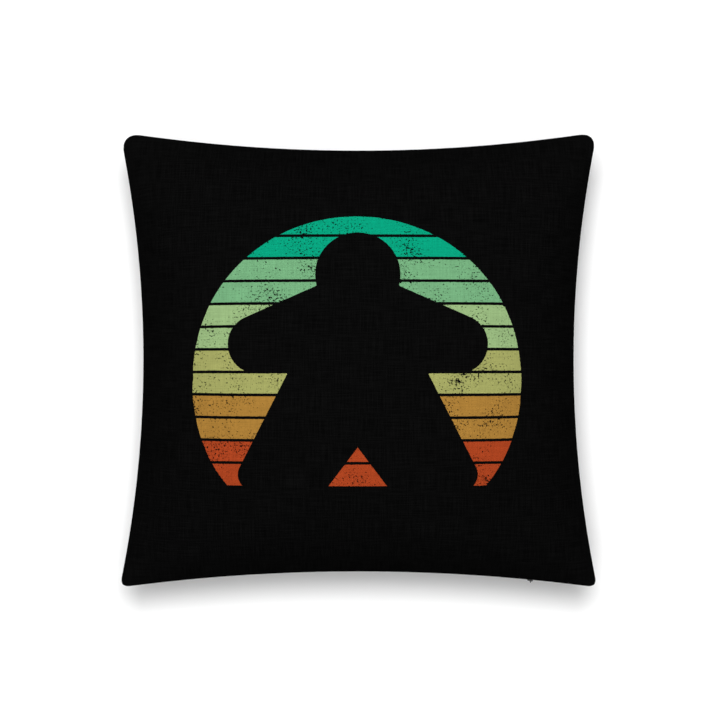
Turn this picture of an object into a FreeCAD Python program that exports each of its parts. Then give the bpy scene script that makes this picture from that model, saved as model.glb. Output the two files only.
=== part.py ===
import FreeCAD, Part
import math
import os
from FreeCAD import Vector

# A stuffed square throw pillow: a sewn cloth cover with a zipper in its bottom seam, and a
# filled insert inside it. It lies flat with its printed face up. Millimetres, +Z up, +Y towards
# the top of the print. The origin is in the middle of the whole object, on the surface it lies on.

os.makedirs("parts", exist_ok=True)

# Outline of the stuffed cover, seen from above: each side is one arc that pulls in between corners
HALF_WIDTH = 207.0       # origin to the middle of the left and right sides
TOP_MID = 202.7          # origin to the middle of the top side
BOTTOM_MID = 202.3       # origin to the middle of the bottom side
PULL_IN_SIDES = 23.0     # how far the left and right sides pull in
PULL_IN_TOP = 18.0
PULL_IN_BOTTOM = 15.5
CORNER_RADII = (6.0, 11.0, 13.0, 6.0)     # bottom right, top right, top left, bottom left

# Crowns above and below the seam
RINGS = 18               # rows of surface points from the rim to the flat
PER_SIDE = 26            # surface points along each side
BACK_CROWN = 70.0
FRONT_CROWN = 75.0
CROWN_POWER = 0.7        # below 1 the edge is blunt
CORNER_THINNING = 0.35   # how much more the power is towards a corner
BACK_FLAT = 0.30         # share of the back's radius that rests flat
FRONT_FLAT = 0.04
FLAT_EASE = 0.35         # share of the radius over which a flat runs out into its crown
OVAL_CORNER = 0.10       # how squarish the middle of a crown is, seen from above
SEAM_Z = BACK_CROWN

# Cloth, seam allowances and thread
CLOTH = 0.6
INNER_CORNER_RADII = (17.0, 22.0, 24.0, 17.0)    # the cloth is bunched up inside the corners
ALLOWANCE = 10.0
THREAD = 0.5
THREAD_INSET = 1.4
SEAM_GAP = 0.5           # from the seam plane to each panel

# Insert
INSERT_INSET = 16.0
INSERT_GAP = 1.0         # from the cover's outside, at the middle of each crown
INSERT_CORNER_RADII = (16.0, 16.0, 16.0, 16.0)
CASING = 0.4

# Zipper, measured inwards from the rim (depth) and from the seam plane (height)
SLIT_HALF_LENGTH = 176.0
LIP = 1.2                # cloth turned in at each edge of the slit
TAPE_HALF_LENGTH = 182.0
COIL_HALF_LENGTH = 172.0
COIL_DEPTH = (4.6, 5.8)
COIL_HEIGHT = (0.15, 1.7)
TAPE_DEPTH = (5.8, 15.8)
TAPE_HEIGHT = (1.2, 1.6)
STOP_LENGTH = 3.0
STOP_GAP = 0.3
FOLD_HEIGHT = (2.9, 3.5)     # the allowance passes over the slider here
FOLD_DEPTH = (2.5, 8.2)
SEWN_HEIGHT = (1.65, 2.25)   # and lies on the tape here
SEWN_DEPTH = (7.6, 14.0)

# Slider, ring and pull
SLIDER_HALF_LENGTH = 4.5
SLIDER_STATION = 166.0       # where the slider rests, from the middle of the side
WEB_DEPTH = (3.7, 4.3)
WING_DEPTH = 7.2
WING_HEIGHT = (1.95, 2.6)
FIN_HALF = 0.25              # the fin passes out through the slit
LUG_DEPTH = (-1.35, -0.65)   # outside, it is bent down into a lug
LUG_HEIGHT = -3.0            # to the middle of the lug's hole and round end
LUG_HOLE_R = 0.75
LUG_END_R = 1.3
RING_R = 1.8
RING_WIRE_R = 0.35
PULL_EYE_R = 1.75
PULL_HOLE_R = 0.85
PULL_LENGTH = 24.0
PULL_HALF_WIDTH = 2.6
PULL_NECK = 3.4
PULL_THICK = 1.0

UP = Vector(0, 0, 1)
ALONG_Y = Vector(0, 1, 0)


# ---------------------------------------------------------------- outline

def circle_through(a, b, c):
    """Centre and radius of the circle through three points."""
    arc = Part.ArcOfCircle(a, b, c)
    return arc.Center, arc.Radius


def fillet_centre(first, second, radius, corner):
    """Centre of a corner arc that touches two side circles from outside them."""
    (c1, r1), (c2, r2) = first, second
    line = c2 - c1
    reach1, reach2 = r1 + radius, r2 + radius
    along = (reach1 ** 2 - reach2 ** 2 + line.Length ** 2) / (2 * line.Length)
    across = math.sqrt(reach1 ** 2 - along ** 2)
    unit = Vector(line).normalize()
    normal = UP.cross(unit)
    foot = c1 + unit * along
    return min((foot + normal * across, foot - normal * across), key=lambda p: (p - corner).Length)


def towards(centre, target, distance):
    return centre + (target - centre).normalize() * distance


RIGHT = HALF_WIDTH + PULL_IN_SIDES
TOP = TOP_MID + PULL_IN_TOP
BOTTOM = -BOTTOM_MID - PULL_IN_BOTTOM
MIDDLE_Y = (TOP + BOTTOM) / 2
CORNERS = [Vector(RIGHT, BOTTOM), Vector(RIGHT, TOP), Vector(-RIGHT, TOP), Vector(-RIGHT, BOTTOM)]
SIDE_MIDDLES = [Vector(HALF_WIDTH, MIDDLE_Y), Vector(0, TOP_MID),
                Vector(-HALF_WIDTH, MIDDLE_Y), Vector(0, -BOTTOM_MID)]
SIDES = [circle_through(CORNERS[k], SIDE_MIDDLES[k], CORNERS[(k + 1) % 4]) for k in range(4)]
EDGE_CENTRE, EDGE_R = SIDES[3]


def outline_arcs(inset, corner_radii):
    """Twelve arcs round the outline: for each side half a corner, the side, half a corner."""
    circles = [(centre, radius + inset) for centre, radius in SIDES]
    radii = [max(r - inset, 1.0) if corner_radii is CORNER_RADII else r for r in corner_radii]
    inner = [fillet_centre(circles[k - 1], circles[k], radii[k], CORNERS[k]) for k in range(4)]
    runs = []
    for k in range(4):
        after = (k + 1) % 4
        centre, radius = circles[k]
        start = towards(centre, inner[k], radius)
        end = towards(centre, inner[after], radius)
        middle = towards(centre, (start + end) / 2, radius)
        for c, r, a, b in ((inner[k], radii[k], towards(inner[k], CORNERS[k], radii[k]), start),
                           (inner[after], radii[after], end,
                            towards(inner[after], CORNERS[after], radii[after]))):
            runs.append(Part.Arc(a, towards(c, (a + b) / 2, r), b).toShape())
        runs.insert(len(runs) - 1, Part.Arc(start, middle, end).toShape())
    return runs


def outline_face(inset):
    return Part.Face(Part.Wire(outline_arcs(inset, CORNER_RADII)))


def points_round(inset, corner_radii):
    """Points round the outline, closer together towards the corners. The second is a corner."""
    arcs = outline_arcs(inset, corner_radii)
    points = []
    for k in range(4):
        run = arcs[3 * k:3 * k + 3]
        total = sum(edge.Length for edge in run)
        for i in range(PER_SIDE):
            distance = total * (1 - math.cos(math.pi * i / PER_SIDE)) / 2
            for edge in run:
                if distance <= edge.Length:
                    break
                distance -= edge.Length
            points.append(edge.valueAt(edge.getParameterByLength(min(distance, edge.Length))))
    return points[-1:] + points[:-1]


# ---------------------------------------------------------------- crowns

def crown_skin(inset, corner_radii, height, flat, side, base):
    """Four faces of a crowned cloth surface, one to each side. side is 1 for front, -1 for back."""
    rim = points_round(inset, corner_radii)
    nearest = min(point.Length for point in rim)
    furthest = max(point.Length for point in rim)
    poles = []
    for i in range(RINGS + 1):
        angle = math.acos(flat) * i / RINGS
        share = math.cos(angle)
        ease = min(1.0, (share - flat) / FLAT_EASE)
        ease = ease * ease * (3 - 2 * ease)
        row = []
        for point in rim:
            towards_corner = (point.Length - nearest) / (furthest - nearest)
            power = CROWN_POWER * (1 + CORNER_THINNING * (towards_corner * share) ** 6)
            bearing = math.atan2(point.y, point.x)
            oval_r = (HALF_WIDTH - inset) * (1 + OVAL_CORNER * math.sin(2 * bearing) ** 2)
            oval = Vector(math.cos(bearing), math.sin(bearing)) * oval_r
            rim_weight = share ** 6
            place = (point * rim_weight + oval * (1 - rim_weight)) * share
            full = (1 - share ** 2) ** power
            z = height * (1 - (1 - full) * ease) + base * ease * (1 - full) ** 4
            row.append(Vector(place.x, place.y, SEAM_Z + side * z))
        poles.append(row)
    surface = Part.BSplineSurface()
    surface.buildFromPolesMultsKnots(
        poles, [4] + [1] * (RINGS - 3) + [4], [1] * (len(rim) + 1),
        list(range(RINGS - 1)), list(range(len(rim) + 1)), False, True, 3, 3)
    surface.setVNotPeriodic()
    faces = []
    for k in range(4):
        quarter = surface.copy()
        quarter.segment(0, RINGS - 2, PER_SIDE * k, PER_SIDE * (k + 1))
        faces.append(quarter.toShape())
    return faces


def level_wires(skin):
    """The skin's two level outlines: the rim, then the edge of its flat."""
    level = [edge for face in skin for edge in face.Edges if edge.BoundBox.ZLength < 1e-6]
    level.sort(key=lambda edge: -edge.Length)
    return [Part.Wire(Part.__sortEdges__(edges)) for edges in (level[:4], level[4:])]


def level_ring(outer, inner):
    return Part.Face(outer).cut(Part.Face(inner)).Faces[0]


def close_up(faces):
    """One closed solid from the faces all round it."""
    shell = Part.Shell(faces)
    shell.sewShape()
    if Part.Solid(shell).Volume < 0:
        shell.reverse()
    return Part.Solid(shell)


def crown(inset, corner_radii, height, flat, side):
    """Solid between the seam plane and a crowned skin."""
    skin = crown_skin(inset, corner_radii, height, flat, side, 0.0)
    return close_up(skin + [Part.Face(wire) for wire in level_wires(skin)])


def crown_size(side):
    return (FRONT_CROWN, FRONT_FLAT) if side > 0 else (BACK_CROWN, BACK_FLAT)


def insert_crown(extra, side):
    height, flat = crown_size(side)
    return crown(INSERT_INSET + extra, INSERT_CORNER_RADII, height - INSERT_GAP - extra, flat, side)


# ---------------------------------------------------------------- strips along the bottom edge

def along_edge(section, start, end):
    """Sweep a section of (depth, height) points along the bottom edge, from x = start to end."""
    first = math.degrees(start / EDGE_R)
    turn = math.degrees((end - start) / EDGE_R)
    points = [Vector(0, EDGE_CENTRE.y + EDGE_R + depth, SEAM_Z + height) for depth, height in section]
    face = Part.Face(Part.makePolygon(points + points[:1]))
    face.rotate(EDGE_CENTRE, UP, -first)
    return face.revolve(EDGE_CENTRE, UP, -turn)


def box_section(depths, heights, side=1):
    (d0, d1), (h0, h1) = depths, heights
    return [(d0, side * h0), (d1, side * h0), (d1, side * h1), (d0, side * h1)]


def strip(depths, heights, side, half_length):
    return along_edge(box_section(depths, heights, side), -half_length, half_length)


def at_station(shape, station):
    """Carry a shape made at the middle of the bottom edge to a place along it."""
    shape.rotate(EDGE_CENTRE, UP, -math.degrees(station / EDGE_R))
    return shape


# ---------------------------------------------------------------- cover

def zipper_opening(depth):
    """Level face behind the slit, from a depth inwards: no turned-in cloth or seam lies there."""
    first = Vector(0, EDGE_CENTRE.y + EDGE_R + depth, 0)
    line = Part.LineSegment(first, first + Vector(0, 2 * ALLOWANCE, 0)).toShape()
    half_turn = math.degrees(SLIT_HALF_LENGTH / EDGE_R)
    line.rotate(EDGE_CENTRE, UP, -half_turn)
    return line.revolve(EDGE_CENTRE, UP, 2 * half_turn)


def seam_thread():
    """A row of stitches through both allowances, which ends at the slit."""
    ring = outline_face(THREAD_INSET).cut(outline_face(THREAD_INSET + THREAD))
    ring = ring.cut(zipper_opening(0.0))
    ring.translate(UP * (SEAM_Z - SEAM_GAP))
    return ring.Faces[0].extrude(UP * 2 * SEAM_GAP)


def folded_allowance(side):
    """The allowance beside the slit: it passes over the slider, then lies on the tape."""
    (f0, f1), (s0, s1) = FOLD_DEPTH, SEWN_DEPTH
    (low, high), (sewn_low, sewn_high) = FOLD_HEIGHT, SEWN_HEIGHT
    section = [(f0, low), (s0, low), (s0, sewn_low), (s1, sewn_low),
               (s1, sewn_high), (f1, sewn_high), (f1, high), (f0, high)]
    return along_edge([(d, side * h) for d, h in section], -SLIT_HALF_LENGTH, SLIT_HALF_LENGTH)


def turned_in(rim):
    """Level face from a rim in to the raw edge of its allowance, and that raw edge."""
    hollow = [outline_face(ALLOWANCE), zipper_opening(LIP)]
    for face in hollow:
        face.translate(UP * rim.BoundBox.ZMin)
    face = Part.Face(rim).cut(hollow).Faces[0]
    return face, [wire for wire in face.Wires if not wire.isSame(face.OuterWire)][0]


def panel(side):
    """One cloth panel: its crown, with the seam allowance turned in all round at the seam."""
    height, flat = crown_size(side)
    outside = crown_skin(0, CORNER_RADII, height, flat, side, SEAM_GAP)
    inside = crown_skin(CLOTH, INNER_CORNER_RADII, height - CLOTH, flat, side, SEAM_GAP + CLOTH)
    outer_rim, outer_flat = level_wires(outside)
    inner_rim, inner_flat = level_wires(inside)
    allowance, raw_edge = turned_in(outer_rim)
    allowance_inside, _ = turned_in(inner_rim)
    cloth = close_up([
        *outside, *inside, Part.Face(outer_flat), Part.Face(inner_flat),
        allowance, allowance_inside, *raw_edge.extrude(UP * side * CLOTH).Faces])
    return Part.Compound([cloth, folded_allowance(side)])


# ---------------------------------------------------------------- zipper

def zipper_stop(side, closed_end):
    """A clamp on one coil's end, or on both when side is 0."""
    sign = 1 if closed_end else -1
    near = sign * (COIL_HALF_LENGTH + STOP_GAP)
    far = near + sign * STOP_LENGTH
    low, high = COIL_HEIGHT
    heights = (side * low, side * high) if side else (-high, high)
    return along_edge(box_section((COIL_DEPTH[0], COIL_DEPTH[1]), heights), near, far)


def slider():
    half = SLIDER_HALF_LENGTH
    top = WING_HEIGHT[1]
    body = strip(WEB_DEPTH, (-top, top), 1, half)
    wings = [strip((WEB_DEPTH[0], WING_DEPTH), WING_HEIGHT, side, half) for side in (1, -1)]
    fin = strip((LUG_DEPTH[0], WEB_DEPTH[1]), (-FIN_HALF, FIN_HALF), 1, LUG_END_R)
    out, back = LUG_DEPTH
    foot = Vector(0, -BOTTOM_MID + out, SEAM_Z + LUG_HEIGHT)
    stem = Part.makeBox(2 * LUG_END_R, back - out, FIN_HALF - LUG_HEIGHT, foot - Vector(LUG_END_R, 0, 0))
    end, hole = (Part.makeCylinder(r, back - out, foot, ALONG_Y) for r in (LUG_END_R, LUG_HOLE_R))
    lug = stem.fuse(end).cut(hole)
    return body.fuse(wings + [fin, lug]).removeSplitter()


LUG_HOLE = Vector(0, -BOTTOM_MID + sum(LUG_DEPTH) / 2, SEAM_Z + LUG_HEIGHT)
RING_CENTRE = LUG_HOLE - UP * RING_R


def ring():
    return Part.makeTorus(RING_R, RING_WIRE_R, RING_CENTRE, Vector(1, 0, 0))


def pull():
    """A flat tab with a round eye, hanging from the lowest point of the ring."""
    eye = RING_CENTRE - UP * RING_R
    shoulder = eye - UP * PULL_NECK
    foot = eye - UP * (PULL_LENGTH - PULL_EYE_R - PULL_HALF_WIDTH)
    back = Vector(0, PULL_THICK / 2, 0)
    through = Vector(0, -1, 0)

    def disc(centre, radius):
        return Part.makeCylinder(radius, PULL_THICK, centre + back, through)

    def plate(half_width, low, high):
        corner = Vector(-half_width, low.y - PULL_THICK / 2, low.z)
        return Part.makeBox(2 * half_width, PULL_THICK, high.z - low.z, corner)

    tab = plate(PULL_HALF_WIDTH, foot, shoulder)
    neck = plate(PULL_EYE_R * 0.75, shoulder, eye)
    whole = disc(eye, PULL_EYE_R).fuse([neck, tab, disc(foot, PULL_HALF_WIDTH)])
    return whole.cut(disc(eye, PULL_HOLE_R)).removeSplitter()


# ---------------------------------------------------------------- insert

def casing(side):
    height, flat = crown_size(side)
    outside = crown_skin(INSERT_INSET, INSERT_CORNER_RADII, height - INSERT_GAP, flat, side, 0.0)
    inside = crown_skin(INSERT_INSET + CASING, INSERT_CORNER_RADII,
                        height - INSERT_GAP - CASING, flat, side, 0.0)
    outer_rim, outer_flat = level_wires(outside)
    inner_rim, inner_flat = level_wires(inside)
    return close_up([*outside, *inside, Part.Face(outer_flat), Part.Face(inner_flat),
                     level_ring(outer_rim, inner_rim)])


def fill():
    return insert_crown(CASING, 1).fuse(insert_crown(CASING, -1)).removeSplitter()


def insert_thread():
    outer = Part.Wire(outline_arcs(INSERT_INSET - THREAD, INSERT_CORNER_RADII))
    inner = Part.Wire(outline_arcs(INSERT_INSET, INSERT_CORNER_RADII))
    ring_face = Part.Face(outer).cut(Part.Face(inner))
    ring_face.translate(UP * (SEAM_Z - THREAD))
    return ring_face.extrude(UP * 2 * THREAD)


# ---------------------------------------------------------------- nodes

nodes = {
    "front_panel": panel(1),
    "back_panel": panel(-1),
    "seam_thread": seam_thread(),
    "zipper_tape_front": strip(TAPE_DEPTH, TAPE_HEIGHT, 1, TAPE_HALF_LENGTH),
    "zipper_tape_back": strip(TAPE_DEPTH, TAPE_HEIGHT, -1, TAPE_HALF_LENGTH),
    "zipper_coil_front": strip(COIL_DEPTH, COIL_HEIGHT, 1, COIL_HALF_LENGTH),
    "zipper_coil_back": strip(COIL_DEPTH, COIL_HEIGHT, -1, COIL_HALF_LENGTH),
    "zipper_top_stop": Part.Compound([zipper_stop(1, True), zipper_stop(-1, True)]),
    "zipper_bottom_stop": zipper_stop(0, False),
    "zipper_slider": at_station(slider(), SLIDER_STATION),
    "zipper_ring": at_station(ring(), SLIDER_STATION),
    "zipper_pull": at_station(pull(), SLIDER_STATION),
    "insert_front": casing(1),
    "insert_back": casing(-1),
    "insert_thread": insert_thread(),
    "insert_fill": fill(),
}

whole_box = FreeCAD.BoundBox()
for name, shape in nodes.items():
    shape.exportStep(f"parts/{name}.step")
    whole_box.add(shape.BoundBox)
    kinds = f"{len(shape.Solids)} solid(s), valid {shape.isValid()}, {shape.Volume:.0f} mm3"
    print(name, kinds)
print("box", whole_box)

# The slider runs on an arc, so its joint is a hinge about the arc's centre. The ring swings about
# the axis of the lug's hole, and the pull about the ring's centre.
station = at_station(Part.Vertex(LUG_HOLE), SLIDER_STATION)
ring_spot = at_station(Part.Vertex(RING_CENTRE), SLIDER_STATION)
print("slider axis at", EDGE_CENTRE, "radius", EDGE_R)
print("slider travel", math.degrees(2 * SLIDER_STATION / EDGE_R), "degrees")
print("ring axis at", station.Point, "pull axis at", ring_spot.Point)
print("pull axis turned", -math.degrees(SLIDER_STATION / EDGE_R), "degrees from +X")
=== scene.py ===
import math

import bmesh
import bpy
import numpy as np
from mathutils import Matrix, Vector


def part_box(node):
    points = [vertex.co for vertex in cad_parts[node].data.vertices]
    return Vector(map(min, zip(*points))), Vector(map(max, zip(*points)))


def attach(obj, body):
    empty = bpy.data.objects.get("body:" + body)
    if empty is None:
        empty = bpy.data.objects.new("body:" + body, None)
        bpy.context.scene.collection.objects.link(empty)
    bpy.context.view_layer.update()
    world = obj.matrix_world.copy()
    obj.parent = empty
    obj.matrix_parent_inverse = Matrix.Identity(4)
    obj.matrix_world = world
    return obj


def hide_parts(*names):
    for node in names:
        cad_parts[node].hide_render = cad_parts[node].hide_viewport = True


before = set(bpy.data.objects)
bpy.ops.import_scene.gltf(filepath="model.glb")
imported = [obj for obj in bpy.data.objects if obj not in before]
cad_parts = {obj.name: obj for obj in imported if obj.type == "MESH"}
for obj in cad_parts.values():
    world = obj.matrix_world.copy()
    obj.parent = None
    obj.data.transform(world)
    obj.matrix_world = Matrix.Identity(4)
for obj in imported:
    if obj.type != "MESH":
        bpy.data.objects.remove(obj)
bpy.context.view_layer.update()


# ---- Cover: shape --------------------------------------------------------------------------
# Two nearly square pieces of black linen-look polyester, sewn together round the edge and turned
# out. Stuffing draws the seam into an outline whose sides pull in between the corners, and the
# cloth swells into a crown on each side of the seam.

MM = 0.001
SEAM_Z = (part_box("seam_thread")[0][2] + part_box("seam_thread")[1][2]) / 2

HALF_WIDTH = 207.0 * MM              # origin to the middle of the left and right sides
TOP_MID = 202.7 * MM                 # origin to the middle of the top side
BOTTOM_MID = 202.3 * MM
PULL_IN = (23.0 * MM, 18.0 * MM, 15.5 * MM)                     # sides, top, bottom
CORNER_RADII = (6.0 * MM, 11.0 * MM, 13.0 * MM, 6.0 * MM)       # from bottom right, anticlockwise

RIGHT = HALF_WIDTH + PULL_IN[0]
TOP = TOP_MID + PULL_IN[1]
BOTTOM = -BOTTOM_MID - PULL_IN[2]
MIDDLE_Y = (TOP + BOTTOM) / 2
CORNERS = [Vector(c) for c in ((RIGHT, BOTTOM), (RIGHT, TOP), (-RIGHT, TOP), (-RIGHT, BOTTOM))]
SIDE_MIDDLES = [Vector(m) for m in ((HALF_WIDTH, MIDDLE_Y), (0, TOP_MID),
                                    (-HALF_WIDTH, MIDDLE_Y), (0, -BOTTOM_MID))]


def circle_through(a, b, c):
    """Centre and radius of the circle through three points."""
    double_area = 2 * (a.x * (b.y - c.y) + b.x * (c.y - a.y) + c.x * (a.y - b.y))
    x = (a.length_squared * (b.y - c.y) + b.length_squared * (c.y - a.y)
         + c.length_squared * (a.y - b.y)) / double_area
    y = (a.length_squared * (c.x - b.x) + b.length_squared * (a.x - c.x)
         + c.length_squared * (b.x - a.x)) / double_area
    centre = Vector((x, y))
    return centre, (a - centre).length


SIDES = [circle_through(CORNERS[k], SIDE_MIDDLES[k], CORNERS[(k + 1) % 4]) for k in range(4)]
EDGE_CENTRE, EDGE_R = SIDES[3]


def arc_between(centre, radius, start, end, count):
    """Points along the shorter arc from start to end."""
    first = math.atan2(start.y - centre.y, start.x - centre.x)
    turn = math.atan2(end.y - centre.y, end.x - centre.x) - first
    turn = (turn + math.pi) % (2 * math.pi) - math.pi
    angles = first + turn * np.linspace(0, 1, count)
    return np.stack([centre.x + radius * np.cos(angles), centre.y + radius * np.sin(angles)], 1)


def side_points(inset, shares):
    """Four runs of points round the outline, anticlockwise from the bottom right corner.
    shares are the parts of a side's length at which the points lie."""
    circles = [(centre, radius + inset) for centre, radius in SIDES]
    radii = [max(r - inset, 1.0 * MM) for r in CORNER_RADII]
    turns = []
    for k in range(4):
        (c1, r1), (c2, r2) = circles[k - 1], circles[k]
        reach1, reach2 = r1 + radii[k], r2 + radii[k]
        line = c2 - c1
        along = (reach1 ** 2 - reach2 ** 2 + line.length_squared) / (2 * line.length)
        across = math.sqrt(reach1 ** 2 - along ** 2)
        unit = line.normalized()
        normal = Vector((-unit.y, unit.x))
        foot = c1 + unit * along
        turns.append(min((foot + normal * across, foot - normal * across),
                         key=lambda p: (p - CORNERS[k]).length))
    runs = []
    for k in range(4):
        after = (k + 1) % 4
        centre, radius = circles[k]
        ends = [centre + (turns[j] - centre).normalized() * radius for j in (k, after)]
        tips = [turns[j] + (CORNERS[j] - turns[j]).normalized() * radii[j] for j in (k, after)]
        run = np.concatenate([
            arc_between(turns[k], radii[k], tips[0], ends[0], 20)[:-1],
            arc_between(centre, radius, ends[0], ends[1], 200),
            arc_between(turns[after], radii[after], ends[1], tips[1], 20)[1:]])
        length = np.concatenate([[0], np.cumsum(np.hypot(*np.diff(run, axis=0).T))])
        wanted = np.asarray(shares) * length[-1]
        runs.append(np.stack([np.interp(wanted, length, run[:, i]) for i in (0, 1)], 1))
    return runs


def depth_from(side, x, y):
    """How far points lie inside one side of the outline."""
    centre, radius = SIDES[side]
    return np.hypot(x - centre.x, y - centre.y) - radius


def smooth_step(low, high, value):
    t = np.clip((value - low) / (high - low), 0, 1)
    return t * t * (3 - 2 * t)


CELLS = 88                           # squares of cloth along each side
CUT_WIDTH, CUT_HEIGHT = 463.0 * MM, 450.0 * MM      # each piece of cloth, from seam to seam
STUFFED_RISE = 72.0 * MM             # first guess at how high each crown stands
STUFFING_FRAMES = 24
SEAM_DRAWN_IN = 14                   # the frame by which the seam has reached its outline

shares = np.linspace(0, 1, CELLS + 1)
right, top, left, bottom = side_points(0, shares)
top, left = top[::-1], left[::-1]
u, v = shares[:, None, None], shares[None, :, None]
stuffed_plan = ((1 - v) * bottom[:, None] + v * top[:, None]
                + (1 - u) * left[None] + u * right[None]
                - ((1 - u) * (1 - v) * bottom[0] + u * (1 - v) * bottom[-1]
                   + (1 - u) * v * top[0] + u * v * top[-1]))
swell = (np.sin(np.pi * shares)[:, None] * np.sin(np.pi * shares)[None, :]) ** 0.6
cut_plan = np.stack(np.meshgrid((shares - 0.5) * CUT_WIDTH, (shares - 0.5) * CUT_HEIGHT,
                                indexing="ij"), 2)
random = np.random.default_rng(11)
ruffle = swell[:, :, None] * random.normal(0, 0.4 * MM, (CELLS + 1, CELLS + 1, 2))


def stack_height(plan, height):
    return np.concatenate([plan, height[:, :, None]], 2)


across = CELLS + 1
on_rim = np.zeros((across, across), bool)
on_rim[[0, -1], :] = True
on_rim[:, [0, -1]] = True
front_index = np.arange(across * across).reshape(across, across)
back_index = front_index.copy()
back_index[~on_rim] = across * across + np.arange((~on_rim).sum())


def squares(index):
    """The four-sided faces between neighbouring rows of a grid of point numbers."""
    return np.stack([index[:-1, :-1], index[1:, :-1], index[1:, 1:], index[:-1, 1:]],
                    2).reshape(-1, 4)


def bag_points(plan, rise, ruffles):
    front = stack_height(plan, swell * rise + ruffles[:, :, 0])
    back = stack_height(plan, -swell * rise + ruffles[:, :, 1])
    return np.concatenate([front.reshape(-1, 3), back[~on_rim]])


def new_mesh(name, points, faces):
    mesh = bpy.data.meshes.new(name)
    mesh.from_pydata(np.asarray(points, float).tolist(), [], np.asarray(faces).tolist())
    mesh.update()
    return mesh


def new_object(name, data):
    piece = bpy.data.objects.new(name, data)
    bpy.context.scene.collection.objects.link(piece)
    return piece


def lay_flat(mesh, places):
    """Gives a mesh its place on the flat cloth, as the UV layer that its weave follows."""
    layer = mesh.uv_layers.new(name="cloth")
    corner_points = np.zeros(len(mesh.loops), np.int32)
    mesh.loops.foreach_get("vertex_index", corner_points)
    layer.data.foreach_set("uv", places[corner_points].astype(np.float32).ravel())


def shade_smooth(mesh):
    mesh.polygons.foreach_set("use_smooth", np.ones(len(mesh.polygons), bool))


def thicken(piece, thickness, offset, subdivide=True):
    """Modifiers that make a sheet finer, unless it is fine already, and give it its thickness."""
    if subdivide:
        finer = piece.modifiers.new("Finer", "SUBSURF")
        finer.levels = finer.render_levels = 1
    wall = piece.modifiers.new("Thickness", "SOLIDIFY")
    wall.thickness, wall.offset = thickness, offset


def stand_in(piece, body, node):
    """Puts a piece on the body that it rides on and hides the CAD node that it replaces."""
    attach(piece, body)
    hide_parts(node)


def read_points(mesh):
    flat_list = np.zeros(len(mesh.vertices) * 3, np.float32)
    mesh.vertices.foreach_get("co", flat_list)
    return flat_list.reshape(-1, 3).astype(float)


def stuff_the_cover():
    """Cloth simulation of the two pieces, sewn at the rim: the seam is drawn in to its outline
    while the filling's pressure swells the cloth. Returns the points of the front and back."""
    stuffed = bag_points(stuffed_plan, STUFFED_RISE, ruffle * 0)
    start = bag_points(cut_plan, 4.0 * MM, ruffle)
    bag = new_object("bag", new_mesh(
        "bag", start, np.concatenate([squares(front_index), squares(back_index)[:, ::-1]])))
    bag.shape_key_add(name="Basis")
    drawn_in = bag.shape_key_add(name="drawn in")
    drawn_in.data.foreach_set("co", stuffed.astype(np.float32).ravel())
    for value, when in ((0, 1), (1, SEAM_DRAWN_IN)):
        drawn_in.value = value
        drawn_in.keyframe_insert("value", frame=when)
    rim = bag.vertex_groups.new(name="rim")
    rim.add(front_index[on_rim].tolist(), 1.0, "REPLACE")
    cloth = bag.modifiers.new("Cloth", "CLOTH")
    set_up = cloth.settings
    set_up.quality = 6
    set_up.mass = 0.0003
    set_up.tension_stiffness = set_up.compression_stiffness = 40
    set_up.shear_stiffness = 15
    set_up.bending_stiffness = 4
    set_up.tension_damping = set_up.compression_damping = set_up.shear_damping = 10
    set_up.bending_damping = 0.5
    set_up.air_damping = 2
    set_up.use_pressure = True
    set_up.uniform_pressure_force = 60
    set_up.vertex_group_mass = "rim"
    set_up.pin_stiffness = 1
    set_up.effector_weights.gravity = 0
    cloth.collision_settings.use_collision = False
    cloth.point_cache.frame_start, cloth.point_cache.frame_end = 1, STUFFING_FRAMES
    scene = bpy.context.scene
    scene.frame_start, scene.frame_end = 1, STUFFING_FRAMES
    for moment in range(1, STUFFING_FRAMES + 1):
        scene.frame_set(moment)
    result = bag.evaluated_get(bpy.context.evaluated_depsgraph_get())
    stuffed = read_points(result.data)
    bpy.data.objects.remove(bag)
    scene.frame_set(1)
    return stuffed[front_index], stuffed[back_index]


front_cloth, back_cloth = stuff_the_cover()

# Extra rows beside the seam let the cloth turn over it in a round nose.
NEAR_SEAM = (0.28, 0.6)              # in squares of cloth
lines = np.concatenate([[0], NEAR_SEAM, np.arange(1, CELLS),
                        [CELLS - t for t in NEAR_SEAM[::-1]], [CELLS]])
between = np.zeros((len(lines), across))
for row, line in enumerate(lines):
    whole = min(int(line), CELLS - 1)
    between[row, whole] += 1 - (line - whole)
    between[row, whole + 1] += line - whole


def resample(grid):
    return np.einsum("ai,ijk,bj->abk", between, grid, between)


LIP_RISE = 0.6 * MM                  # half the width of the zipper's slit
SEAM_RISE = 0.15 * MM                # half the width of the sewn seam's groove
SLIT_HALF, SLIT_ENDS = 174.0 * MM, 181.0 * MM
FOLD_HALF, FOLD_ENDS = 183.0 * MM, 190.0 * MM
NOSE = 1.6 * MM                      # how far the cloth bulges beside the seam
ZIP_NOSE = {1: 1.9 * MM, -1: 0.2 * MM}       # and how much more at the zipper, front and back
BACK_RISE = SEAM_Z - 0.2 * MM        # from the seam to the flat that the back rests on
FLAT_BLEND = 5.0 * MM                # how softly the back turns into that flat
LUMP = 1.1 * MM                      # unevenness of the filling
LIP_FADE, NOSE_FADE, ZIP_FADE = 20.0 * MM, 8.0 * MM, 9.0 * MM        # inland from the seam
CLOTH = 0.6 * MM


def soft_lumps(x, y, seed):
    """Broad, shallow waves, as loose filling leaves in a cover."""
    waves = np.random.default_rng(seed)
    total = np.zeros_like(x)
    for _ in range(9):
        bearing, length = waves.uniform(0, np.pi), waves.uniform(70, 130) * MM
        phase = waves.uniform(0, 2 * np.pi)
        total += np.sin((x * np.cos(bearing) + y * np.sin(bearing)) / length * 2 * np.pi + phase)
    return total / 3


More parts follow.
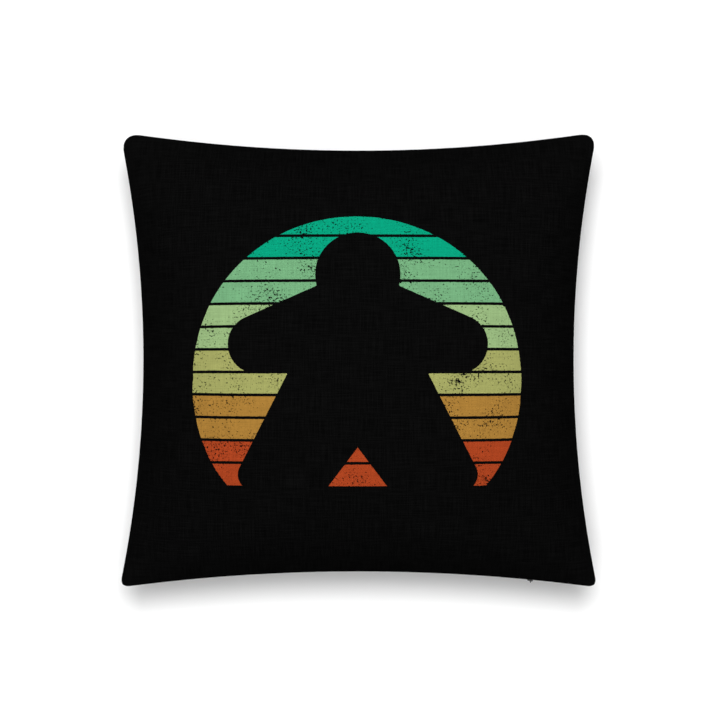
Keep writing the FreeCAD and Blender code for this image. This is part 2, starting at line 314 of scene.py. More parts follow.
def shape_panel(grid, side):
    """Finish one simulated piece: seam groove, round nose, filling and the flat it rests on."""
    x, y = grid[:, :, 0], grid[:, :, 1]
    depths = np.stack([depth_from(k, x, y) for k in range(4)])
    nearest = np.maximum(depths.min(0), 0)
    at_zip = np.maximum(depths[3], 0)
    rise = np.abs(grid[:, :, 2])
    lip = 1 - smooth_step(SLIT_HALF, SLIT_ENDS, np.abs(x))
    fold = 1 - smooth_step(FOLD_HALF, FOLD_ENDS, np.abs(x))
    rise = rise + SEAM_RISE + (LIP_RISE - SEAM_RISE) * lip * np.exp(-at_zip / LIP_FADE)
    rise = rise + NOSE * np.exp(-nearest / NOSE_FADE) * (1 - np.exp(-nearest / (0.8 * MM)))
    rise = rise + (ZIP_NOSE[side] * fold * np.exp(-at_zip / ZIP_FADE)
                   * (1 - np.exp(-at_zip / MM)))
    inland = smooth_step(8 * MM, 70 * MM, nearest)
    rise = rise + LUMP * inland * soft_lumps(x, y, 5 if side > 0 else 6)
    if side < 0:
        meet = np.clip(0.5 + 0.5 * (rise - BACK_RISE) / FLAT_BLEND, 0, 1)
        rise = rise * (1 - meet) + BACK_RISE * meet - FLAT_BLEND * meet * (1 - meet)
    return np.stack([x, y, SEAM_Z + side * rise], 2)


# The seam allowance turns in at the seam. Beside the zipper it passes over the slider and then
# lies on the tape. Each row is (depth, height) from the seam's edge and from the seam's plane.
PLAIN_FOLD = ((0.5, 0.08), (2.0, 0.06), (3.5, 0.06), (5.5, 0.06), (7.5, 0.06), (10.0, 0.06))
ZIP_FOLD = ((1.0, 0.9), (2.8, 1.9), (3.2, 2.95), (7.6, 2.95), (7.9, 1.65), (14.0, 1.65))


def rim_order(grid):
    """A grid's border, anticlockwise from the bottom right corner."""
    return np.concatenate([grid[-1, :-1], grid[:0:-1, -1], grid[0, :0:-1], grid[:-1, 0]])


def round_the_outline(inset):
    return np.concatenate([run[:-1] for run in side_points(inset, lines / CELLS)])


def cloth_panel(name, simulated, side):
    """The mesh of one piece of the cover, with its allowance, thickness and flat coordinates."""
    surface = shape_panel(resample(simulated), side)
    flat = resample(cut_plan)
    count = len(lines)
    index = np.arange(count * count).reshape(count, count)
    faces = squares(index)
    points, cloth_place = [surface.reshape(-1, 3)], [flat.reshape(-1, 2)]
    edge, edge_place = rim_order(index), rim_order(flat)
    almost_edge = 0.4999 * np.array([CUT_WIDTH, CUT_HEIGHT])
    outwards = np.sign(edge_place) * (np.abs(edge_place) > almost_edge)
    previous, total = edge, count * count
    on_zip_side = np.zeros(len(edge), bool)
    on_zip_side[-(count - 1):] = True
    rims = [round_the_outline(0)]
    for plain, zipped in zip(PLAIN_FOLD, ZIP_FOLD):
        bottom_x = rims[0][:, 0]
        zip_share = np.where(on_zip_side, 1 - smooth_step(FOLD_HALF, FOLD_ENDS,
                                                          np.abs(bottom_x)), 0)
        plain_row = round_the_outline(plain[0] * MM)
        angle = (bottom_x - EDGE_CENTRE.x) / EDGE_R
        reach = EDGE_R + zipped[0] * MM
        zip_row = np.stack([EDGE_CENTRE.x + reach * np.sin(angle),
                            EDGE_CENTRE.y + reach * np.cos(angle)], 1)
        plan = plain_row + (zip_row - plain_row) * zip_share[:, None]
        height = plain[1] * MM + (zipped[1] - plain[1]) * MM * zip_share
        points.append(np.concatenate([plan, (SEAM_Z + side * height)[:, None]], 1))
        cloth_place.append(edge_place + outwards * plain[0] * MM)
        row = np.arange(total, total + len(edge))
        total += len(edge)
        faces = np.concatenate([faces, np.stack([
            previous, row, np.roll(row, -1), np.roll(previous, -1)], 1)])
        previous = row
    faces = faces if side > 0 else faces[:, ::-1]
    mesh = new_mesh(name, np.concatenate(points), faces)
    lay_flat(mesh, np.concatenate(cloth_place))
    shade_smooth(mesh)
    panel = new_object(name, mesh)
    thicken(panel, CLOTH, -1)
    return panel


front_panel = cloth_panel("cover_front", front_cloth, 1)
back_panel = cloth_panel("cover_back", back_cloth, -1)


# ---- Cover: cloth and print ----------------------------------------------------------------
# The cloth is a plain weave of dull, uneven black yarns with slubs. The front is screen printed:
# a disc of twelve bands in six inks, worn in specks, and a pawn left bare in the black cloth.

def add_node(tree, kind, **settings):
    node = tree.nodes.new(kind)
    for name, value in settings.items():
        setattr(node, name, value)
    return node


def plug(tree, value, socket):
    if isinstance(value, bpy.types.NodeSocket):
        tree.links.new(value, socket)
    else:
        socket.default_value = value


def calc(tree, operation, *values):
    """One math node. Values are numbers or sockets. Returns its result."""
    node = add_node(tree, "ShaderNodeMath", operation=operation)
    for socket, value in zip(node.inputs, values):
        plug(tree, value, socket)
    return node.outputs[0]


def noise(tree, vector, scale, detail=2.0, roughness=0.5):
    node = add_node(tree, "ShaderNodeTexNoise", noise_dimensions="3D")
    for name, value in (("Vector", vector), ("Scale", scale), ("Detail", detail),
                        ("Roughness", roughness)):
        plug(tree, value, node.inputs[name])
    return node.outputs["Fac"]


def join_vector(tree, x, y, z=0.0):
    node = add_node(tree, "ShaderNodeCombineXYZ")
    for socket, value in zip(node.inputs, (x, y, z)):
        plug(tree, value, socket)
    return node.outputs[0]


def ramp(tree, value, low, high):
    """0 below low, 1 above high, straight between."""
    node = add_node(tree, "ShaderNodeMapRange", clamp=True)
    for name, number in (("Value", value), ("From Min", low), ("From Max", high)):
        plug(tree, number, node.inputs[name])
    return node.outputs[0]


def mix_colours(tree, share, first, second, blend="MIX"):
    node = add_node(tree, "ShaderNodeMix", data_type="RGBA", blend_type=blend)
    for socket, value in ((node.inputs[0], share), (node.inputs[6], first),
                          (node.inputs[7], second)):
        plug(tree, value, socket)
    return node.outputs[2]


def new_group(name, inputs, outputs):
    """A shader node group with named sockets, and its two end nodes."""
    group = bpy.data.node_groups.new(name, "ShaderNodeTree")
    for label, kind, value in inputs:
        socket = group.interface.new_socket(label, in_out="INPUT", socket_type=kind)
        if value is not None:
            socket.default_value = value
    for label, kind in outputs:
        group.interface.new_socket(label, in_out="OUTPUT", socket_type=kind)
    start, end = add_node(group, "NodeGroupInput"), add_node(group, "NodeGroupOutput")
    return group, start.outputs, end.inputs


def build_weave():
    """Plain weave: its height, and the uneven shade of its yarns. Place is in metres."""
    tree, given, out = new_group(
        "Weave", [("Place", "NodeSocketVector", None), ("Yarn", "NodeSocketFloat", 0.0006),
                  ("Slub", "NodeSocketFloat", 0.5)],
        [("Height", "NodeSocketFloat"), ("Shade", "NodeSocketFloat")])
    split = add_node(tree, "ShaderNodeSeparateXYZ")
    plug(tree, given["Place"], split.inputs[0])
    per_yarn = calc(tree, "DIVIDE", math.pi, given["Yarn"])
    wander = noise(tree, given["Place"], 90.0, 2.0)
    wander = calc(tree, "MULTIPLY", calc(tree, "SUBTRACT", wander, 0.5), 2.5)
    warp_angle = calc(tree, "ADD", calc(tree, "MULTIPLY", split.outputs[0], per_yarn), wander)
    weft_angle = calc(tree, "ADD", calc(tree, "MULTIPLY", split.outputs[1], per_yarn), wander)
    over = calc(tree, "MULTIPLY", calc(tree, "COSINE", warp_angle),
                calc(tree, "COSINE", weft_angle))
    warp = calc(tree, "MULTIPLY", calc(tree, "ABSOLUTE", calc(tree, "SINE", warp_angle)),
                calc(tree, "MULTIPLY_ADD", over, 0.4, 0.6))
    weft = calc(tree, "MULTIPLY", calc(tree, "ABSOLUTE", calc(tree, "SINE", weft_angle)),
                calc(tree, "MULTIPLY_ADD", over, -0.4, 0.6))
    woven = calc(tree, "MAXIMUM", warp, weft)
    long_way, short_way = 40.0, 900.0
    weft_slub = noise(tree, join_vector(
        tree, calc(tree, "MULTIPLY", split.outputs[0], long_way),
        calc(tree, "MULTIPLY", split.outputs[1], short_way), 0.0), 1.0, 1.0)
    warp_slub = noise(tree, join_vector(
        tree, calc(tree, "MULTIPLY", split.outputs[0], short_way),
        calc(tree, "MULTIPLY", split.outputs[1], long_way), 7.0), 1.0, 1.0)
    slub = calc(tree, "MULTIPLY", calc(tree, "SUBTRACT", calc(
        tree, "ADD", ramp(tree, weft_slub, 0.35, 0.75), ramp(tree, warp_slub, 0.35, 0.75)), 0.8),
        given["Slub"])
    plug(tree, calc(tree, "ADD", woven, slub), out["Height"])
    plug(tree, calc(tree, "ADD", calc(tree, "MULTIPLY_ADD", woven, 0.5, 0.6), slub), out["Shade"])
    return tree


WEAVE = build_weave()
DISC_CENTRE = (-2.0 * MM, -18.4 * MM)        # on the flat cloth
DISC_RADIUS = 157.0 * MM
DISC_DROP = 1.2 * MM                 # the round of the disc is centred this far below it
DISC_FOOT = 99.6 * MM                # from the disc's centre down to where it is cut straight
BANDS = 12
BAND_HEIGHT = 21.45 * MM
BAND_FOOT = 99.0 * MM                # from the disc's centre down to where the bands are counted
BAND_GAP = 0.125                     # share of a band's height left unprinted
INKS = ((0.0020, 0.255, 0.145), (0.126, 0.298, 0.147), (0.224, 0.339, 0.151),
        (0.262, 0.272, 0.089), (0.286, 0.147, 0.028), (0.290, 0.041, 0.011))

# The pawn, from the disc's centre on the flat cloth. Every line of it is straight or round.
HEAD_Y, HEAD_R = 100.0 * MM, 40.0 * MM
ARM_REACH, ARM_FOOT, ARM_ROUND = 122.5 * MM, 7.0 * MM, 27.5 * MM
SHOULDER_SLOPE = 0.44                # fall per width
WAIST, FOOT_REACH = 66.0 * MM, 120.5 * MM            # the legs' sides run between these
HEEL_ROUND, HEEL_RISE = 15.7 * MM, 10.5 * MM         # radius, and its centre above the foot
LEG_TOP = 30.0 * MM                  # inside the body
GAP_TOP, GAP_HALF, GAP_ROUND = -62.5 * MM, 27.5 * MM, 3.0 * MM       # between the legs
JOIN_ROUND = 2.0 * MM
PAWN_SHIFT = 1.2 * MM                # the pawn stands this far right of the disc's centre

# Wear, on noise from 0 to 1: scale, detail and roughness, and the value above which ink is gone.
FINE_WEAR, BROAD_WEAR = (520.0, 2.0, 0.6), (230.0, 4.0, 0.75)
FINE_LIMIT, BROAD_LIMIT = 0.64, 0.665
INK_CREEP = 0.7 * MM                 # how far the yarns let the edges of the ink wander


def build_print():
    """The print, by signed distance: its ink colour, and where there is ink."""
    tree, given, out = new_group(
        "Sunset print", [("Place", "NodeSocketVector", None),
                         ("Radius", "NodeSocketFloat", DISC_RADIUS),
                         ("Foot", "NodeSocketFloat", DISC_FOOT),
                         ("Band", "NodeSocketFloat", BAND_HEIGHT),
                         ("Band Gap", "NodeSocketFloat", BAND_GAP),
                         ("Wear", "NodeSocketFloat", 0.5)],
        [("Ink Color", "NodeSocketColor"), ("Ink", "NodeSocketFloat")])

    def m(operation, *values):
        return calc(tree, operation, *values)

    split = add_node(tree, "ShaderNodeSeparateXYZ")
    plug(tree, given["Place"], split.inputs[0])
    creep = m("MULTIPLY", m("SUBTRACT", noise(tree, given["Place"], 400.0), 0.5), INK_CREEP)
    x = m("ADD", m("SUBTRACT", split.outputs[0], DISC_CENTRE[0]), creep)
    y = m("ADD", m("SUBTRACT", split.outputs[1], DISC_CENTRE[1]), creep)
    aside = m("ABSOLUTE", m("SUBTRACT", x, PAWN_SHIFT))

    def line(x0, y0, x1, y1):
        """Distance to the right of the line from the first point to the second."""
        length = math.hypot(x1 - x0, y1 - y0)
        a, b = (y1 - y0) / length, -(x1 - x0) / length
        return m("ADD", m("MULTIPLY_ADD", aside, a, -(a * x0 + b * y0)), m("MULTIPLY", y, b))

    def disc(centre_x, centre_y, radius, across=aside):
        run, rise = m("SUBTRACT", across, centre_x), m("SUBTRACT", y, centre_y)
        far = m("SQRT", m("ADD", m("MULTIPLY", run, run), m("MULTIPLY", rise, rise)))
        return m("SUBTRACT", far, radius)

    # Distances are below 0 inside each shape.
    foot = m("MULTIPLY", m("ADD", y, given["Foot"]), -1.0)
    sun = m("MAXIMUM", disc(0.0, -DISC_DROP, given["Radius"], x), foot)
    head = disc(0.0, HEAD_Y, HEAD_R)
    tilt = math.atan(SHOULDER_SLOPE)
    hand_x, hand_y = ARM_REACH - ARM_ROUND, ARM_FOOT + ARM_ROUND
    shoulder_y = hand_y + SHOULDER_SLOPE * hand_x + ARM_ROUND / math.cos(tilt)
    shoulder = line(1.0, shoulder_y - SHOULDER_SLOPE, 0.0, shoulder_y)
    arm_end = line(hand_x, ARM_FOOT, hand_x + ARM_ROUND * math.sin(tilt),
                   hand_y + ARM_ROUND * math.cos(tilt))
    arm_foot = m("SUBTRACT", ARM_FOOT, y)
    arms = m("MAXIMUM", m("MAXIMUM", shoulder, arm_end), arm_foot)
    arms = m("MINIMUM", arms, disc(hand_x, hand_y, ARM_ROUND))
    leg_side = line(FOOT_REACH, -DISC_FOOT, WAIST, ARM_FOOT)
    lean = math.atan2(FOOT_REACH - WAIST, DISC_FOOT + ARM_FOOT)
    heel_y = HEEL_RISE - DISC_FOOT
    heel_x = WAIST + (ARM_FOOT - heel_y) * math.tan(lean) - HEEL_ROUND / math.cos(lean)
    above_heel = line(heel_x, heel_y, heel_x + HEEL_ROUND * math.cos(lean),
                      heel_y + HEEL_ROUND * math.sin(lean))
    heel = m("MINIMUM", disc(heel_x, heel_y, HEEL_ROUND), m("SUBTRACT", aside, heel_x))
    legs = m("MAXIMUM", m("MAXIMUM", leg_side, m("MINIMUM", above_heel, heel)),
             m("SUBTRACT", y, LEG_TOP))
    gap = line(0.0, GAP_TOP, GAP_HALF, -DISC_FOOT)
    legs = m("SMOOTH_MAX", legs, gap, GAP_ROUND)
    pawn = m("SMOOTH_MIN", m("SMOOTH_MIN", arms, legs, JOIN_ROUND), head, JOIN_ROUND)

    # Bands are counted down to the foot, two to each ink. The lowest has no gap below it.
    bands = m("SUBTRACT", float(BANDS), m("DIVIDE", m("ADD", y, BAND_FOOT), given["Band"]))
    bands = m("MINIMUM", bands, BANDS - 0.3)
    down = m("DIVIDE", bands, float(BANDS))
    within = m("ABSOLUTE", m("SUBTRACT", m("FRACT", m("ADD", bands, 0.5)), 0.5))
    stripe = m("GREATER_THAN", within, m("MULTIPLY", given["Band Gap"], 0.5))
    colours = add_node(tree, "ShaderNodeValToRGB")
    colours.color_ramp.interpolation = "CONSTANT"
    stops = colours.color_ramp.elements
    while len(stops) < len(INKS):
        stops.new(1.0)
    for k, ink in enumerate(INKS):
        stops[k].position = k / len(INKS)
        stops[k].color = (*ink, 1.0)
    plug(tree, down, colours.inputs[0])

    # Wear: small specks of missing ink, thicker in some places than in others.
    patchy = m("MULTIPLY", m("SUBTRACT", noise(tree, given["Place"], 30.0, 3.0), 0.5),
               given["Wear"])
    fine = m("ADD", noise(tree, given["Place"], *FINE_WEAR), patchy)
    broad = m("ADD", noise(tree, given["Place"], *BROAD_WEAR), patchy)
    worn = m("MAXIMUM", m("GREATER_THAN", fine, FINE_LIMIT),
             m("GREATER_THAN", broad, BROAD_LIMIT))
    inside = m("LESS_THAN", m("MAXIMUM", sun, m("MULTIPLY", pawn, -1.0)), 0.0)
    ink = m("MULTIPLY", m("MULTIPLY", inside, stripe), m("SUBTRACT", 1.0, worn))
    plug(tree, colours.outputs[0], out["Ink Color"])
    plug(tree, ink, out["Ink"])
    return tree


def place_group(tree, group, **values):
    node = add_node(tree, "ShaderNodeGroup", node_tree=group)
    for name, value in values.items():
        plug(tree, value, node.inputs[name.replace("_", " ")])
    return node.outputs


def new_material(name, **constants):
    """A material, its node tree and its Principled shader. Constants go on the shader."""
    material = bpy.data.materials.new(name)
    material.use_nodes = True
    tree = material.node_tree
    shader = next(n for n in tree.nodes if n.type == "BSDF_PRINCIPLED")
    for label, value in constants.items():
        shader.inputs[label.replace("_", " ")].default_value = value
    return material, tree, shader.inputs


def own_uv(tree):
    return add_node(tree, "ShaderNodeUVMap", uv_map="cloth").outputs[0]


def bump(tree, shader, height, distance, strength=1.0):
    node = add_node(tree, "ShaderNodeBump")
    node.inputs["Distance"].default_value = distance
    node.inputs["Strength"].default_value = strength
    plug(tree, height, node.inputs["Height"])
    plug(tree, node.outputs[0], shader["Normal"])


BLACK_YARN = (0.0027, 0.0027, 0.0027, 1.0)
CLOTH_YARN = 0.62 * MM


def cover_material(name, printed):
    material, tree, shader = new_material(
        name, Roughness=0.85, Specular_IOR_Level=0.0)
    place = own_uv(tree)
    weave = place_group(tree, WEAVE, Place=place, Yarn=CLOTH_YARN, Slub=0.45)
    cloth = mix_colours(tree, 1.0, BLACK_YARN, weave["Shade"], "MULTIPLY")
    if printed:
        printing = place_group(tree, build_print(), Place=place)
        ink_shade = calc(tree, "MULTIPLY_ADD", weave["Shade"], 0.32, 0.74)
        inked = mix_colours(tree, 1.0, printing["Ink Color"], ink_shade, "MULTIPLY")
        cloth = mix_colours(tree, printing["Ink"], cloth, inked)
    plug(tree, cloth, shader["Base Color"])
    bump(tree, shader, weave["Height"], 0.16 * MM, 0.8)
    return material


front_panel.data.materials.append(cover_material("printed black linen", True))
back_panel.data.materials.append(cover_material("plain black linen", False))
stand_in(front_panel, "cushion", "front_panel")
stand_in(back_panel, "cushion", "back_panel")


# ---- Seam stitches -------------------------------------------------------------------------
# Black polyester lockstitch through both allowances, just inside the seam. It runs round the
# cover from one end of the zipper's slit to the other, so it shows only where the slit opens.

STITCH_INSET = 1.65 * MM
STITCHED_FROM = 177.0 * MM           # from the middle of the bottom seam to its first stitch


def new_geometry_tree(name, inputs):
    """A geometry node tree with named inputs, a path to work along and a material."""
    tree = bpy.data.node_groups.new(name, "GeometryNodeTree")
    tree.interface.new_socket("Geometry", in_out="INPUT", socket_type="NodeSocketGeometry")
    for label, kind, value in inputs:
        socket = tree.interface.new_socket(label, in_out="INPUT", socket_type=kind)
        if value is not None:
            socket.default_value = value
    tree.interface.new_socket("Geometry", in_out="OUTPUT", socket_type="NodeSocketGeometry")
    start, end = add_node(tree, "NodeGroupInput"), add_node(tree, "NodeGroupOutput")
    return tree, start.outputs, end.inputs


def through(tree, kind, values, **settings):
    """A node with its named sockets filled in. Returns the node."""
    node = add_node(tree, kind, **settings)
    for label, value in values.items():
        plug(tree, value, node.inputs[label])
    return node


def finish_tree(tree, geometry, material, out):
    solid = through(tree, "GeometryNodeRealizeInstances", {"Geometry": geometry}).outputs[0]
    smooth = through(tree, "GeometryNodeSetShadeSmooth", {"Geometry": solid}).outputs[0]
    painted = through(tree, "GeometryNodeSetMaterial", {"Geometry": smooth, "Material": material})
    plug(tree, painted.outputs[0], out[0])


def build_stitch_tree():
    """Stitches on both faces of a seam, joined through it at each needle hole."""
    tree, given, out = new_geometry_tree("Lockstitch", [
        ("Pitch", "NodeSocketFloat", 0.003), ("Thread", "NodeSocketFloat", 0.0004),
        ("Half Seam", "NodeSocketFloat", 0.0007), ("Material", "NodeSocketMaterial", None)])
    curve = through(tree, "GeometryNodeMeshToCurve", {"Mesh": given[0]}).outputs[0]
    spots = through(tree, "GeometryNodeCurveToPoints", {
        "Curve": curve, "Length": given["Pitch"]}, mode="LENGTH")
    bead = through(tree, "GeometryNodeMeshUVSphere", {"Segments": 8, "Rings": 5, "Radius": 0.5})
    length = calc(tree, "MULTIPLY", given["Pitch"], 0.92)
    flat_size = join_vector(tree, given["Thread"], given["Thread"], length)
    drop = calc(tree, "MULTIPLY_ADD", given["Half Seam"], 2.0, given["Thread"])
    tall_size = join_vector(tree, given["Thread"], given["Thread"], drop)
    parts = []
    for sign in (1.0, -1.0):
        lift = join_vector(tree, 0.0, 0.0, calc(tree, "MULTIPLY", given["Half Seam"], sign))
        moved = through(tree, "GeometryNodeSetPosition", {
            "Geometry": spots.outputs["Points"], "Offset": lift})
        parts.append(through(tree, "GeometryNodeInstanceOnPoints", {
            "Points": moved.outputs[0], "Instance": bead.outputs["Mesh"],
            "Rotation": spots.outputs["Rotation"], "Scale": flat_size}).outputs[0])
    half_step = add_node(tree, "ShaderNodeVectorMath", operation="SCALE")
    plug(tree, spots.outputs["Tangent"], half_step.inputs[0])
    plug(tree, calc(tree, "MULTIPLY", given["Pitch"], 0.5), half_step.inputs["Scale"])
    holes = through(tree, "GeometryNodeSetPosition", {
        "Geometry": spots.outputs["Points"], "Offset": half_step.outputs[0]})
    parts.append(through(tree, "GeometryNodeInstanceOnPoints", {
        "Points": holes.outputs[0], "Instance": bead.outputs["Mesh"],
        "Scale": tall_size}).outputs[0])
    joined = add_node(tree, "GeometryNodeJoinGeometry")
    for part in reversed(parts):
        plug(tree, part, joined.inputs[0])
    finish_tree(tree, joined.outputs[0], given["Material"], out)
    return tree


def run_tree(name, path, tree, values):
    """Runs a geometry tree along a path of points and returns the result as a plain mesh."""
    mesh = bpy.data.meshes.new(name)
    mesh.from_pydata(np.asarray(path, float).tolist(),
                     [(k, k + 1) for k in range(len(path) - 1)], [])
    maker = new_object(name + " path", mesh)
    modifier = maker.modifiers.new("Maker", "NODES")
    modifier.node_group = tree
    for item in tree.interface.items_tree:
        if item.in_out == "INPUT" and item.name in values:
            modifier[item.identifier] = values[item.name]
    maker.update_tag()
    bpy.context.view_layer.update()
    made = maker.evaluated_get(bpy.context.evaluated_depsgraph_get())
    result = bpy.data.meshes.new_from_object(made)
    result.name = name
    bpy.data.objects.remove(maker)
    return new_object(name, result)


def seam_path(inset, height, slit_half):
    """Points along the seam, which starts and ends at the slit unless there is none."""
    fine = np.linspace(0, 1, 161)
    runs = side_points(inset, fine)
    path = np.concatenate([run[:-1] for run in runs])
    if slit_half:
        bottom_run = runs[3]
        after = bottom_run[bottom_run[:, 0] > slit_half]
        before = bottom_run[bottom_run[:, 0] < -slit_half]
        path = np.concatenate([after, *[run[:-1] for run in runs[:3]], before])
    else:
        path = np.concatenate([path, path[:1]])
    return np.concatenate([path, np.full((len(path), 1), height)], 1)


def thread_material(name, colour, shine):
    material, tree, shader = new_material(
        name, Roughness=0.55, Specular_IOR_Level=shine, Sheen_Weight=0.02)
    place = add_node(tree, "ShaderNodeTexCoord").outputs["Object"]
    twist = noise(tree, place, 2600.0, 1.0)
    shade = calc(tree, "MULTIPLY_ADD", twist, 0.8, 0.6)
    plug(tree, mix_colours(tree, 1.0, colour, shade, "MULTIPLY"), shader["Base Color"])
    bump(tree, shader, twist, 0.05 * MM)
    return material


LOCKSTITCH = build_stitch_tree()
BLACK_THREAD = thread_material("black thread", (0.006, 0.006, 0.0065, 1), 0.12)
cover_seam = seam_path(STITCH_INSET, SEAM_Z, STITCHED_FROM)
seam_stitches = run_tree("seam_stitches", cover_seam, LOCKSTITCH, {
    "Pitch": 2.8 * MM, "Thread": 0.34 * MM, "Half Seam": 0.72 * MM, "Material": BLACK_THREAD})
stand_in(seam_stitches, "cushion", "seam_thread")


# ---- Zipper tapes --------------------------------------------------------------------------
# Two black herringbone polyester tapes lie on each other behind the slit, one sewn to each
# allowance. Each carries a nylon coil on its outer edge.

TAPE_HALF, TAPE_WIDTH, TAPE_WALL = 182.0 * MM, 10.0 * MM, 0.4 * MM
TAPE_DEPTHS = (5.8, 6.1, 7.0, 9.5, 12.0, 15.0, 15.5, 15.8)
TAPE_RISE = (1.40, 1.43, 1.40, 1.39, 1.39, 1.40, 1.43, 1.40)     # a thicker edge on each side


def along_zip(depths, heights, half_length, steps):
    """Points and flat places of a strip that follows the bottom seam. Depths and heights are
    in millimetres from the seam's edge and its plane."""
    angle = np.linspace(-half_length, half_length, steps)[:, None] / EDGE_R
    reach = EDGE_R + np.asarray(depths)[None, :] * MM
    x, y = EDGE_CENTRE.x + reach * np.sin(angle), EDGE_CENTRE.y + reach * np.cos(angle)
    z = SEAM_Z + np.asarray(heights)[None, :] * MM + 0 * x
    return np.stack([x, y, z], 2), np.stack([angle * EDGE_R + 0 * x, reach + 0 * x], 2)


def build_tape(name, side, node):
    grid, flat = along_zip(TAPE_DEPTHS, [side * h for h in TAPE_RISE], TAPE_HALF, 181)
    index = np.arange(grid.shape[0] * grid.shape[1]).reshape(grid.shape[:2])
    faces = squares(index)
    mesh = new_mesh(name, grid.reshape(-1, 3), faces if side > 0 else faces[:, ::-1])
    lay_flat(mesh, flat.reshape(-1, 2))
    tape = new_object(name, mesh)
    thicken(tape, TAPE_WALL, 0, subdivide=False)
    tape.data.materials.append(TAPE_CLOTH)
    stand_in(tape, "cushion", node)


def tape_material():
    material, tree, shader = new_material(
        "black tape", Roughness=0.8, Specular_IOR_Level=0.1, Sheen_Weight=0.03)
    weave = place_group(tree, WEAVE, Place=own_uv(tree), Yarn=0.45 * MM, Slub=0.05)
    plug(tree, mix_colours(tree, 1.0, (0.007, 0.007, 0.0075, 1), weave["Shade"], "MULTIPLY"),
         shader["Base Color"])
    bump(tree, shader, weave["Height"], 0.12 * MM)
    return material


TAPE_CLOTH = tape_material()
build_tape("zip_tape_front", 1, "zipper_tape_front")
build_tape("zip_tape_back", -1, "zipper_tape_back")


# ---- Zipper coils --------------------------------------------------------------------------
# Each coil is one nylon monofilament wound into a flat spiral. The two are offset by half a
# turn, so their heads lie between each other and lock.

COIL_HALF = 172.0 * MM
COIL_PITCH = 1.25 * MM
COIL_DEPTH, COIL_RISE = 5.2, 0.78    # millimetres from the seam's edge and its plane
STEPS_PER_TURN = 10


def build_coil_tree():
    """A flat spiral of wire along a path."""
    tree, given, out = new_geometry_tree("Zipper coil", [
        ("Turns", "NodeSocketInt", 100), ("Half Width", "NodeSocketFloat", 0.0005),
        ("Half Height", "NodeSocketFloat", 0.0008), ("Wire", "NodeSocketFloat", 0.00016),
        ("Phase", "NodeSocketFloat", 0.0), ("Material", "NodeSocketMaterial", None)])
    curve = through(tree, "GeometryNodeMeshToCurve", {"Mesh": given[0]}).outputs[0]
    count = calc(tree, "MULTIPLY", given["Turns"], float(STEPS_PER_TURN))
    fine = through(tree, "GeometryNodeResampleCurve", {"Curve": curve, "Count": count},
                   mode="COUNT").outputs[0]
    angle = calc(tree, "MULTIPLY_ADD", add_node(tree, "GeometryNodeInputIndex").outputs[0],
                     2 * math.pi / STEPS_PER_TURN, given["Phase"])
    aside = add_node(tree, "ShaderNodeVectorMath", operation="CROSS_PRODUCT")
    plug(tree, add_node(tree, "GeometryNodeInputTangent").outputs[0], aside.inputs[0])
    aside.inputs[1].default_value = (0, 0, 1)
    swing = add_node(tree, "ShaderNodeVectorMath", operation="SCALE")
    plug(tree, aside.outputs[0], swing.inputs[0])
    plug(tree, calc(tree, "MULTIPLY", calc(tree, "COSINE", angle), given["Half Width"]),
         swing.inputs["Scale"])
    lift = join_vector(tree, 0.0, 0.0, calc(
        tree, "MULTIPLY", calc(tree, "SINE", angle), given["Half Height"]))
    offset = add_node(tree, "ShaderNodeVectorMath", operation="ADD")
    plug(tree, swing.outputs[0], offset.inputs[0])
    plug(tree, lift, offset.inputs[1])
    wound = through(tree, "GeometryNodeSetPosition", {
        "Geometry": fine, "Offset": offset.outputs[0]}).outputs[0]
    ring = through(tree, "GeometryNodeCurvePrimitiveCircle", {
        "Resolution": 6, "Radius": given["Wire"]}).outputs["Curve"]
    wire = through(tree, "GeometryNodeCurveToMesh", {
        "Curve": wound, "Profile Curve": ring, "Fill Caps": True}).outputs[0]
    finish_tree(tree, wire, given["Material"], out)
    return tree


def nylon_material():
    material, tree, shader = new_material(
        "black nylon", Roughness=0.4, Specular_IOR_Level=0.3)
    place = add_node(tree, "ShaderNodeTexCoord").outputs["Object"]
    dulled = noise(tree, place, 300.0, 3.0)
    plug(tree, mix_colours(tree, dulled, (0.006, 0.006, 0.007, 1), (0.016, 0.016, 0.017, 1)),
         shader["Base Color"])
    plug(tree, calc(tree, "MULTIPLY_ADD", dulled, 0.3, 0.25), shader["Roughness"])
    return material


ZIP_COIL = build_coil_tree()
NYLON = nylon_material()
for name, side, node in (("zip_coil_front", 1, "zipper_coil_front"),
                         ("zip_coil_back", -1, "zipper_coil_back")):
    run = along_zip([COIL_DEPTH], [side * COIL_RISE], COIL_HALF, 200)[0][:, 0]
    coil = run_tree(name, run, ZIP_COIL, {
        "Turns": int(2 * COIL_HALF / COIL_PITCH), "Half Width": 0.42 * MM,
        "Half Height": 0.88 * MM, "Wire": 0.17 * MM, "Phase": 0.0 if side > 0 else math.pi,
        "Material": NYLON})
    stand_in(coil, "cushion", node)
